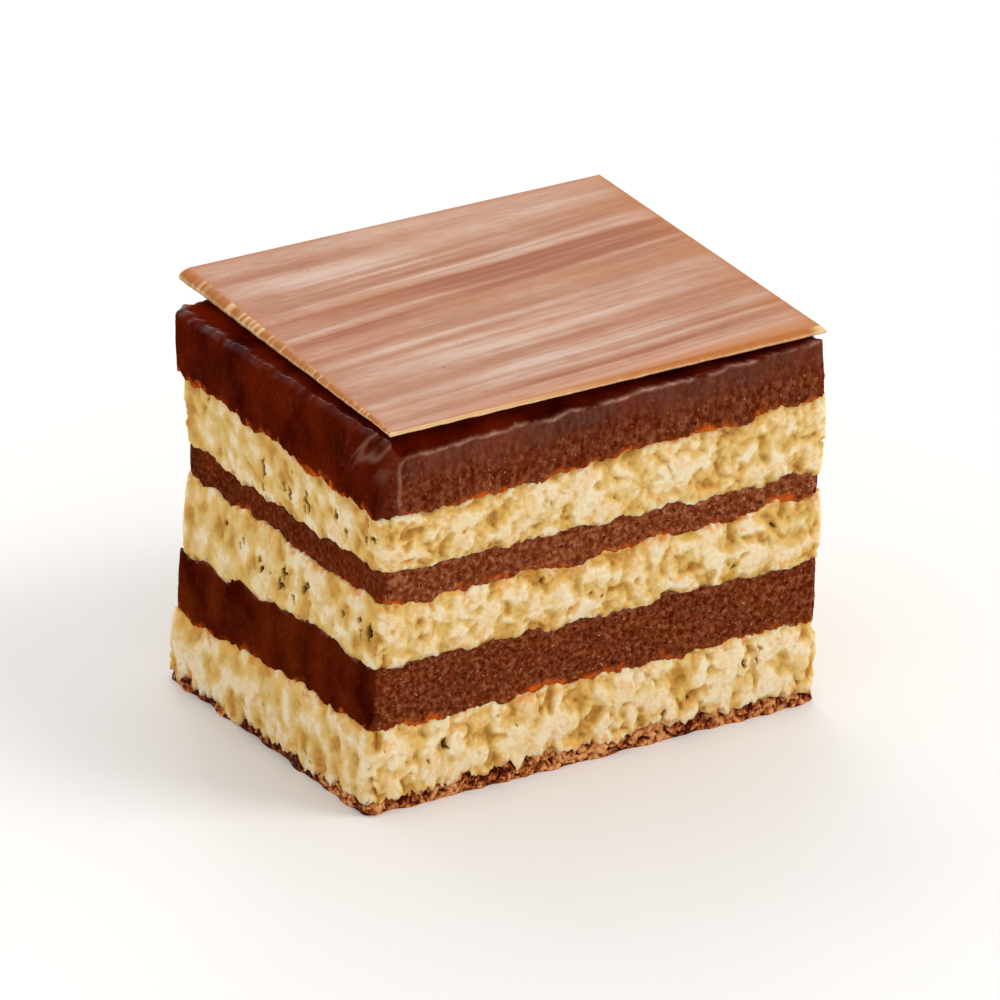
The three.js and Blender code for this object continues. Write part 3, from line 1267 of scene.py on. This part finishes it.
@dataclass
class TopGanacheLayer(GanacheLayer):
    """Top ganache: slumped at its upper edge under the plaque, with a proud front panel that has a lip."""

    cap_shares: tuple[float, ...] = SHELF_SHARES
    slump_near: float = 1.3
    slump_right: float = 0.2
    slump_side: float = 0.4
    slump_least: float = 0.08
    ragged: float = 0.36
    panel_start: float = -15.0
    panel_round: float = 0.9
    panel_rise: float = 0.12
    lip_rise: float = 0.08
    shoulder: float = 0.35
    shoulder_height: float = 0.5
    shelf_curve: float = 2.2
    smear_start: float = -7.4
    smear_height: float = 3.2
    drawn: float = 1.4

    def levels(self, walk: Walk) -> tuple[Array, Array]:
        """Lower the head below the plaque by the slump of the face that it belongs to.

        Args:
            walk: Points round the block.

        Returns:
            Heights of the foot and of the head.
        """
        low, high = super().levels(walk)
        along = np.clip(walk.x / LENGTH + 0.5, 0.0, 1.0)
        front = self.slump_near + (self.slump_right - self.slump_near) * along
        over_y = np.where(walk.normal_y < 0, front, self.slump_side)
        place = np.stack([walk.x, walk.y, np.zeros_like(walk.x)], axis=-1)
        ragged = self.ragged * rough_noise(place / 1.8 + 2.0, 4)
        slump = self.slump_side * walk.normal_x**2 + over_y * walk.normal_y**2
        return low, high - np.maximum(slump - ragged, self.slump_least)

    def panel(self, wall: Wall) -> Array:
        """Measure how far inside the front panel's edge a point lies, on the front face.

        The panel is bounded by its left end and its head, which meet in a quarter round: inside is the
        round's radius less the distance to its centre where both are near, and the nearer of the two
        elsewhere.

        Args:
            wall: The plain wall.

        Returns:
            Millimetres inside the edge, negative outside it and on the other faces.
        """
        wobble = 0.15 * rough_noise(wall.points / 0.9 + 4.0, 2)
        from_end = wall.points[..., 0] - self.panel_start - LEAN[0] * wall.points[..., 2] + wobble
        from_head = wall.below_head() + 0.5 * wobble
        short_x = np.maximum(self.panel_round - from_end, 0.0)
        short_z = np.maximum(self.panel_round - from_head, 0.0)
        inside = np.where(
            (short_x > 0) & (short_z > 0),
            self.panel_round - np.hypot(short_x, short_z),
            np.minimum(from_end, from_head),
        )
        return np.where(wall.normals[..., 1] < -0.9, inside, -1.0)

    def relief(self, wall: Wall) -> tuple[Array, dict[str, Array]]:
        """Raise the front panel and its lip, paint a highlight along the lip, and round the shoulders of
        the other faces.

        Args:
            wall: The plain wall.

        Returns:
            Moves along the normals, and the marks.
        """
        out, marks = super().relief(wall)
        inside = self.panel(wall)
        broken = np.clip(0.65 + 1.5 * rough_noise(wall.points / 1.1, 3), 0.0, 1.5)
        lip = ridge(inside, 0.08, 0.1) * broken
        front = wall.on_front()
        rounding = ease(self.shoulder_height - wall.below_head(), 0.0, self.shoulder_height) ** 2
        shoulder = self.shoulder * rounding * (1.0 - front)
        out = out + self.panel_rise * ease(inside, -0.05, 0.15) + self.lip_rise * lip - shoulder
        corner = ease(wall.normals[..., 0] ** 2, 0.02, 0.3)
        bare = np.maximum(corner, 1.0 - ease(inside, -0.05, 0.1))
        strip = ease(-inside, 0.0, 0.15) * ease(-wall.normals[..., 1], 0.15, 0.6)
        gloss = 0.5 * lip + 0.06 * strip + 0.9 * self.wet(wall)
        marks["grain"] = marks["grain"] * np.where(front > 0.5, 1.0 - 0.8 * bare, 1.0)
        marks["fringe"] = np.maximum(marks["fringe"], 0.07 * strip)
        # Painted highlight: the lip is painted pale along its ridge, on top of the bloom and the smears.
        marks["bloom_and_highlight"] = np.clip(marks["bloom_and_highlight"] + 0.8 * lip + self.smears(wall), 0.0, 1.0)
        marks["gloss"] = np.clip(marks["gloss"] + gloss, 0.0, 1.0)
        return out, marks

    def grain(self, wall: Wall) -> Array:
        """Give how grainy the wall is: as on the other layers, but smoother high on the front panel."""
        lower = ease(wall.below_head(), 0.6, 2.6)
        return super().grain(wall) * np.where(self.panel(wall) > 0.0, 0.22 + 0.63 * lower, 1.0)

    def wet(self, wall: Wall) -> Array:
        """Give the wet shine along the shoulder of the faces other than the front, stronger at the back.

        Args:
            wall: The plain wall.

        Returns:
            Strength of the shine.
        """
        beads = ease(rough_noise(wall.points / 0.5 + 21.0, 2), -0.4, 0.4)
        beads = beads * (0.4 + 0.6 * ease(wall.points[..., 1], 4.0, 10.0))
        return beads * ease(0.45 - wall.below_head(), 0.0, 0.35) * (1.0 - wall.on_front())

    def smears(self, wall: Wall) -> Array:
        """Give the pale smears that the knife left on the left face near its front end.

        They are thin lines of a drawn-out, slanting noise, fading with the distance from the near edge and
        from the head.

        Args:
            wall: The plain wall.

        Returns:
            Strength of the smears.
        """
        slant = wall.points.copy()
        slant[..., 1] += 0.55 * wall.points[..., 2]
        lines = ridge(smooth_noise(slant / np.array([9.0, 0.9, 3.2]) + 2.0), 0.25, 0.16)
        near = ease(self.smear_start - wall.points[..., 1], 0.0, 2.5)
        zone = near * ease(self.smear_height - wall.below_head(), 0.0, 2.0)
        return 0.4 * lines * zone * ease(-wall.normals[..., 0], 0.5, 0.9)

    def bloom_and_highlight(self, wall: Wall) -> Array:
        """Give the greyish bloom of the front panel, more in its upper half and streaked by upright drags.

        Args:
            wall: The plain wall.

        Returns:
            Strength of the bloom.
        """
        drags = smooth_noise(wall.points / np.array([0.4, 0.4, 2.5]) + 6.0)
        upper = 1.0 - ease(wall.below_head(), 0.5, 2.6)
        return ease(self.panel(wall), 0.0, 0.3) * np.maximum(0.13 * upper + 0.08 * drags, 0.0)

    def head_mark(self, rim: Array) -> Array:
        """Fade a mark of the wall's head over the first rings of the cap."""
        return np.maximum(0.0, 1.0 - np.array(self.cap_shares) / CAP_SHARES[0])[:, None] * rim

    def cap(self, seam: Seam, rim: Array, walk: Walk) -> Array:
        """Keep the head's cap low behind its rim, as a shelf that rises to the plaque further in.

        Args:
            seam: The seam that the cap lies on.
            rim: Points of the wall's foot or head.
            walk: Points round the block.

        Returns:
            Rings of points from the rim inwards.
        """
        rings = super().cap(seam, rim, walk)
        if seam is self.head:
            shares = np.array(self.cap_shares)[:, None]
            rings[..., 2] = rim[:, 2] + (rings[-1, :, 2] - rim[:, 2]) * shares**self.shelf_curve
        return rings


@dataclass
class CoatLayer(Layer):
    """Thin chocolate coat under the cake, crumbled along its edge."""

    step: float = 0.08
    waver: Pair = (0.4, 0.7)
    chunk_size: float = 0.5
    flake_size: Triple = (0.45, 0.45, 0.3)
    broad: float = 0.35
    broad_size: float = 1.7
    patch_size: float = 3.0
    sunk: float = 0.02

    def relief(self, wall: Wall) -> tuple[Array, dict[str, Array]]:
        """Break the edge in patches into small chunks and rough flakes with gaps between them.

        It is calmer at the floor and on the short faces, where its flecks are darker too.

        Args:
            wall: The plain wall.

        Returns:
            Moves along the normals, and the mark of its flecks, which follows the height of the chunks:
            painted shade in the gaps, painted highlights on the raised chunks.
        """
        spots = drift(wall.points, *self.waver)
        chunks = Grains(self.chunk_size, 0.5, 0.6, 0.8, 3.0).height(spots, wall.normals)
        rough = rough_noise(spots / np.array(self.flake_size), 4)
        broad = self.broad * smooth_noise(wall.points / self.broad_size)
        crumbly = ease(smooth_noise(wall.points / self.patch_size + 7.0), -0.4, 0.25)
        long = wall.normals[..., 1] ** 2
        calm = (0.35 + 0.65 * ease(wall.share, 0.0, 0.5)) * (0.3 + 0.7 * crumbly) * (0.4 + 0.6 * long)
        out = broad + calm * (0.6 * chunks + 0.5 * rough) - self.sunk
        # Painted light: the mark rises with the chunks' height, dark as shade in the gaps and pale as
        # highlight on top.
        flecks_and_highlights = 0.12 + 0.18 * long + 0.3 * crumbly + 1.1 * chunks * crumbly + 1.1 * rough
        return out, {"fleck_and_highlight": np.clip(flecks_and_highlights, 0.0, 1.0)}


# The plaque


@dataclass
class Plaque:
    """Thin brushed sheet laid on top, set back from the front and left faces, hanging over the back.

    A bevel is how far the rim slopes in from the sheet's snapped edge, at the start and the end of a side.
    A ring of the rim is its share of the way out to that edge and its share of the thickness. A set of
    brush streaks is its length, its width and the shift of its noise, from broad to hair-fine.
    """

    finish: Material
    name: str = "chocolate_plaque"
    length: float = 31.5
    width: float = 26.7
    thickness: Corners = field(default_factory=lambda: Corners(0.24, 0.38, 0.5, 0.72))
    centre: Pair = (1.45, 1.2)
    turn: float = -0.012
    taper: float = 0.7
    gap: float = 0.05
    wander: float = 0.2
    step: Pair = (0.25, 0.07)
    brush_relief: float = 0.08
    rim_relief: float = 0.06
    underside_inset: float = 2.4
    left_bevel: Pair = (0.35, 0.75)
    front_bevel: Pair = (0.15, 0.6)
    right_bevel: Pair = (0.3, 0.2)
    back_bevel: Pair = (0.3, 0.2)
    brush: tuple[Triple, ...] = (
        (38.0, 3.4, 4.0), (36.0, 1.25, 12.0), (26.0, 0.5, 33.0), (16.0, 0.22, 71.0),
    )
    rim_rings: tuple[Pair, ...] = (
        (0.16, 0.95), (0.34, 0.87), (0.52, 0.76), (0.7, 0.63),
        (0.86, 0.48), (0.97, 0.34), (1.0, 0.22), (0.99, 0.0),
    )

    def lay(self, x: Array, y: Array, rise: Array) -> Array:
        """Place points of the flat sheet on the cake: tapered to the back, turned and tilted with the seat.

        Args:
            x: Places along the sheet.
            y: Places across it.
            rise: Heights above its underside, as shares of its thickness there.

        Returns:
            The placed points.
        """
        tapered = x - self.taper * (x / self.length + 0.5) * (y / self.width + 0.5)
        cosine, sine = math.cos(self.turn), math.sin(self.turn)
        placed_x = self.centre[0] + tapered * cosine - y * sine
        placed_y = self.centre[1] + tapered * sine + y * cosine
        slope = (PLAQUE_SEAT.level.left - PLAQUE_SEAT.level.near) / WIDTH
        level = PLAQUE_SEAT.level.near + slope * (placed_y + WIDTH / 2) + self.gap
        return np.stack([placed_x, placed_y, level + rise * self.thickness.at(x, y)], axis=-1)

    def streaks(self, x: Array, y: Array) -> Array:
        """Give the brush streaks: noise drawn out along the sheet, from broad to hair-fine.

        They drift across the sheet, are stronger where its surface is worn and paler along its front.

        Args:
            x: Places along the sheet.
            y: Places across it.

        Returns:
            Values from about 0 to 1.
        """
        flat = np.stack([x, y, np.full_like(x, 0.5)], axis=-1)
        drawn = flat.copy()
        drawn[..., 1] = y - 0.09 * x + 0.3 * smooth_noise(flat / np.array([14.0, 10.0, 1.0]) + 1.5)
        broad, middle, fine, hair = (
            smooth_noise(drawn / np.array([length, width, 1.0]) + shift)
            for length, width, shift in self.brush
        )
        patches = rough_noise(flat / np.array([6.0, 3.5, 1.0]) + 8.0, 3)
        forward = 0.3 * x / self.length - 0.6 * y / self.width
        worn = ease(smooth_noise(flat / np.array([14.0, 4.0, 1.0]) + 51.0) + forward, -0.6, 0.5)
        lines = (0.18 + 0.24 * worn) * middle + (0.07 + 0.24 * worn) * fine + (0.03 + 0.13 * worn) * hair
        paler = 0.13 * np.exp(-(y + self.width / 2) / 6.0)
        return 0.465 + 0.22 * broad + lines + 0.13 * patches + paler

    def surface(self) -> Surface:
        """Work out the sheet: a brushed top grid, a sloping rim round it and a flat underside.

        Returns:
            The surface with its marks.
        """
        columns = round(self.length / self.step[0])
        rows = round(self.width / self.step[1])
        u, v = np.meshgrid(np.linspace(-1, 1, columns + 1), np.linspace(-1, 1, rows + 1))
        along, across = (u + 1) / 2, (v + 1) / 2
        left = -self.length / 2 + np.interp(across, (0, 1), self.left_bevel)
        right = self.length / 2 - np.interp(across, (0, 1), self.right_bevel)
        front = -self.width / 2 + np.interp(along, (0, 1), self.front_bevel)
        back = self.width / 2 - np.interp(along, (0, 1), self.back_bevel)
        x = left + (right - left) * along
        y = front + (back - front) * across
        streak = self.streaks(x, y)
        top = self.lay(x, y, 1.0 + self.brush_relief * (streak - 0.5))
        from_side = np.minimum(x - left, right - x)
        from_edge = np.minimum(np.minimum(y - front, back - y), from_side)
        glow = 0.7 * np.exp(-from_edge / (0.18 + 0.12 * along))
        drawn_out = np.stack([x / 9.0, y / 2.2, np.full_like(x, 9.5)], axis=-1)
        glaze = 0.3 * np.exp(-(right - x) / 3.0) + (0.15 + 0.85 * along) * ridge(y - front, 0.0, 1.2)
        glaze = np.clip(glaze + 0.25 * np.maximum(smooth_noise(drawn_out), 0.0), 0.0, 0.85)
        index = np.arange(x.size).reshape(x.shape)
        border = np.concatenate([index[0, :-1], index[:-1, -1], index[-1, :0:-1], index[:0:-1, 0]])
        looks = {"streak": streak.ravel(), "glow": glow.ravel(), "glaze": glaze.ravel()}
        rim = tuple(values.ravel()[border] for values in (x, y, u, v))
        return self.close(top.reshape(-1, 3), grid_quads(index), border, looks, rim)

    def close(
        self, top: Array, quads: Array, border: Array, looks: dict[str, Array], rim: tuple[Array, ...]
    ) -> Surface:
        """Add the rim's rings and the underside to the top grid.

        A ring runs from the top's border, at share 0, out to the sheet's snapped edge, at share 1, and then
        down.

        Args:
            top: Points of the top grid.
            quads: Its quads.
            border: Indices of its border, anticlockwise from above.
            looks: Its streaks, its glaze, and how far the caramel of the rim glows through it.
            rim: The border's places along and across the sheet, in millimetres and from -1 to 1.

        Returns:
            The closed surface with its marks.
        """
        border_x, border_y, border_u, border_v = rim
        edge_place = np.stack([border_x, border_y, np.full_like(border_x, 3.5)], axis=-1)
        wander = 1.0 - 2.0 * self.wander * (0.5 + 0.5 * rough_noise(edge_place / 1.6, 3)) / self.width
        edge_x = border_u * self.length / 2 * wander
        edge_y = border_v * self.width / 2 * wander
        on_left = ease(-border_u, 0.97, 1.0)
        on_right = ease(border_u, 0.97, 1.0)
        near_end = ease(-border_u, -0.3, 0.8) * ease(-border_v, 0.97, 1.0)
        tip = ease(border_u - border_v, 1.93, 2.0)
        rings = []
        stripes = []
        for out, rise in self.rim_rings:
            place = np.stack([border_x, border_y, np.full_like(border_x, rise)], axis=-1)
            stripe = rough_noise(place / np.array([0.45, 0.45, 4.0]) + 8.0, 3)
            ring_x = border_x + (edge_x - border_x) * out
            ring_y = border_y + (edge_y - border_y) * out
            rings.append(self.lay(ring_x, ring_y, rise + self.rim_relief * stripe * (rise > 0.1)))
            striped = ease(stripe, -0.05, 0.6) * (0.1 + 0.8 * on_left)
            pale_line = (0.5 + 0.5 * stripe) * (rise < 0.4)
            pale = striped + pale_line + 0.7 * near_end + 0.5 * on_right + tip
            stripes.append(np.clip(pale, 0.0, 1.0))
        inner_x = border_u * (self.length / 2 - self.underside_inset)
        inner_y = border_v * (self.width / 2 - self.underside_inset)
        rings.append(self.lay(inner_x, inner_y, np.zeros_like(inner_x)))
        stripes.append(stripes[-1])
        pole = self.lay(np.zeros(1), np.zeros(1), np.zeros(1))
        points = np.concatenate([top, *rings, pole])
        count = len(border)
        ring = len(top) + np.arange(count)
        joint = np.stack([ring, np.roll(ring, -1), np.roll(border, -1), border], axis=-1)
        downward = ring_quads(len(rings), count, len(top))[:, ::-1]
        closing = fan(len(points) - 1, ring + (len(rings) - 1) * count, False)
        marks = {
            "stripe": np.concatenate([np.zeros(len(top)), *stripes, [0.0]]),
            "rim": np.concatenate([looks["glow"], np.ones(len(rings) * count), [0.0]]),
        }
        marks["rim"][border] = 0.7
        for mark in ("streak", "glaze"):
            marks[mark] = np.concatenate([looks[mark], np.tile(looks[mark][border], len(rings)), [0.5]])
        return Surface(points, np.concatenate([quads, joint, downward]), closing, marks)

    def build(self) -> bpy.types.Object:
        """Make the plaque's piece."""
        return self.surface().dress(self.name, Slot.PLAQUE, self.finish)


# The studio


def stand(name: str, data: bpy.types.ID, place: Triple, aim: Triple) -> bpy.types.Object:
    """Place a light or the camera and turn it to face a point.

    Args:
        name: Name of the object.
        data: The light or the camera.
        place: Where it stands in metres.
        aim: Point that it faces.

    Returns:
        The object.
    """
    made = bpy.data.objects.new(name, data)
    made.location = place
    made.rotation_euler = (Vector(aim) - made.location).to_track_quat("-Z", "Y").to_euler()
    bpy.context.scene.collection.objects.link(made)
    return made


@dataclass(frozen=True)
class AreaLight:
    """A soft square light aimed at the cake."""

    name: str
    place: Triple
    size: float
    power: float
    colour: Colour

    def build(self, aim: Triple) -> bpy.types.Object:
        """Make the light.

        Args:
            aim: Point that it faces.

        Returns:
            The light's object.
        """
        data = bpy.data.lights.new(self.name, "AREA")
        data.shape = "SQUARE"
        data.size = self.size
        data.energy = self.power
        data.color = self.colour
        return stand(self.name, data, self.place, aim)


@dataclass
class Studio:
    """White table, soft light and the camera."""

    floor_finish: Material
    floor_size: float = 3.0
    floor_cells: int = 8
    camera_place: Triple = (-0.4738, -0.7896, 0.4325)
    camera_aim: Triple = (0.0009, 0.0005, 0.0127)
    photo_lens: float = 264.4
    closer: float = 2.2
    sensor: float = 36.0
    clip_start: float = 0.01
    sky: Colour = (1.0, 0.995, 0.985)
    sky_strength: float = 0.84
    lights: tuple[AreaLight, ...] = (
        AreaLight("window", (0.40, -0.36, 0.62), 0.30, 2.2, (1.0, 0.98, 0.95)),
        AreaLight("back_glow", (0.10, 0.65, 0.50), 0.4, 1.2, (1.0, 0.98, 0.96)),
    )

    def floor(self) -> bpy.types.Object:
        """Make the table: a flat grid about the cake, at the height of its foot.

        Returns:
            The table.
        """
        half = self.floor_size / 2 / MM
        line = np.linspace(-half, half, self.floor_cells + 1)
        x, y = np.meshgrid(line, line)
        points = np.stack([x, y, np.zeros_like(x)], axis=-1).reshape(-1, 3)
        quads = grid_quads(np.arange(x.size).reshape(x.shape))
        made = Surface(points, quads, np.zeros((0, 3), dtype=int), {}).piece("table")
        made.data.materials.append(self.floor_finish)
        return made

    def world(self) -> None:
        """Fill the room with even light."""
        scene = bpy.context.scene
        scene.world = scene.world or bpy.data.worlds.new("room")
        scene.world.use_nodes = True
        background = scene.world.node_tree.nodes["Background"]
        background.inputs["Color"].default_value = (*self.sky, 1.0)
        background.inputs["Strength"].default_value = self.sky_strength
        scene.view_settings.view_transform = "Standard"

    def camera(self) -> bpy.types.Object:
        """Place the camera where the photograph was taken from, drawn closer by its lens.

        Returns:
            The camera.
        """
        data = bpy.data.cameras.new("camera")
        data.sensor_width = self.sensor
        data.lens = self.photo_lens * self.closer
        data.clip_start = self.clip_start
        made = stand("camera", data, self.camera_place, self.camera_aim)
        bpy.context.scene.camera = made
        return made

    def build(self) -> list[bpy.types.Object]:
        """Make the room's light, the table, the lights and the camera."""
        self.world()
        return [self.floor(), *(light.build(self.camera_aim) for light in self.lights), self.camera()]


# The whole cake


@dataclass
class PetitFour:
    """The stack of layers with the plaque on top."""

    sponge: Material
    ganache: Material
    paler: Material
    panel: Material
    coat: Material
    plaque: Material

    def layers(self) -> list[Layer]:
        """List the layers from the floor up with the shifts of their upright edges.

        Returns:
            The layers.
        """
        return [
            CoatLayer(
                "chocolate_base", Slot.COAT, UNDERSIDE, COAT_TOP,
                Shift(Corners(0, 0.5, 0.3, -0.3), Corners(0.1, 0.1, 0.1, 0.3)),
                Shift(Corners(0, 0.4, 0.2, -0.2), Corners(0.2, 0.2, 0, 0.2)),
                self.coat,
            ),
            SpongeLayer(
                "sponge_bottom", Slot.SPONGE, COAT_TOP, LOWER_FOOT,
                Shift(Corners(0, 0.1, 0.1, -0.3), Corners(-0.1, -0.1, 0.1, 0.3)),
                Shift(Corners(0, 0.1, 0.1, -0.1), Corners(0, 0, 0.1, 0.2)),
                self.sponge, lump=0.32, pack=0.32, tall=1.5, seed=0.0, legs=0.3, pit_shade_level=0.036,
            ),
            GanacheLayer(
                "ganache_lower", Slot.GANACHE, LOWER_FOOT, LOWER_HEAD,
                Shift(Corners(0.1, 0.1, -0.1, 0), Corners(0, 0, -0.3, 0.2)),
                Shift(Corners(0.2, 0.1, 0, 0), Corners(0.1, 0.1, -0.4, 0.2)),
                self.ganache,
            ),
            SpongeLayer(
                "sponge_middle", Slot.SPONGE, LOWER_HEAD, MIDDLE_FOOT,
                Shift(Corners(0.2, 0.1, 0.1, 0.1), Corners(0, 0, -0.2, -0.2)),
                Shift(Corners(0.4, 0, 0, 0.3), Corners(0, 0, -0.2, -0.2)),
                self.sponge, tall=1.1, seed=17.0, row_pores=18,
            ),
            GanacheLayer(
                "ganache_middle", Slot.GANACHE, MIDDLE_FOOT, MIDDLE_HEAD,
                Shift(Corners(0.6, -0.1, -0.2, 0.4), Corners(0.1, 0.1, -0.2, -0.2)),
                Shift(Corners(0.6, -0.1, -0.2, 0.4), Corners(0.1, 0.1, 0, -0.1)),
                self.paler, sealed=0.3, haze=0.02,
            ),
            SpongeLayer(
                "sponge_top", Slot.SPONGE, MIDDLE_HEAD, TOP_FOOT,
                Shift(Corners(0.5, 0, 0, 0.3), Corners(0, 0, -0.1, -0.1)),
                Shift(Corners(0.2, 0.1, 0.1, 0), Corners(0, 0, 0, 0.1)),
                self.sponge, tall=0.9, seed=29.0, pit_shade_level=0.058, row_pores=12,
            ),
            TopGanacheLayer(
                "ganache_top", Slot.GANACHE, TOP_FOOT, PLAQUE_SEAT,
                Shift(Corners(-0.1, 0, -0.1, -0.5), Corners(-0.1, -0.1, -0.1, 0.5)),
                Shift(Corners(0.7, -0.2, -0.3, -0.7), Corners(0.1, 0.1, -0.2, 0.6)),
                self.panel,
            ),
        ]

    def build(self) -> list[bpy.types.Object]:
        """Make every piece of the cake, from the floor up."""
        return [*(layer.build() for layer in self.layers()), Plaque(self.plaque).build()]


def main() -> None:
    """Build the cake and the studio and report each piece."""
    logging.basicConfig(level=logging.INFO, format="%(name)s: %(message)s")
    paler = GanacheFinish(
        "pale_ganache",
        dark=(0.125, 0.013, 0.001),
        brown=(0.205, 0.045, 0.012),
        light=(0.37, 0.13, 0.055),
    )
    drawn = GanacheFinish(
        "drawn_ganache",
        smooth=(0.034, 0.0008, 0.0),
        dull=(0.108, 0.0075, 0.0005),
        drawn=1.35,
        sparse=0.655,
    )
    finishes = (SpongeFinish(), GanacheFinish(), paler, drawn, CoatFinish(), PlaqueFinish())
    cake = PetitFour(*(finish.material() for finish in finishes))
    for piece in cake.build():
        faces = sum(len(polygon.vertices) - 2 for polygon in piece.data.polygons)
        log.info("%s: %d triangles", piece.name, faces)
    for piece in Studio(FloorFinish().material()).build():
        log.info("%s is placed", piece.name)


if __name__ == "__main__":
    main()
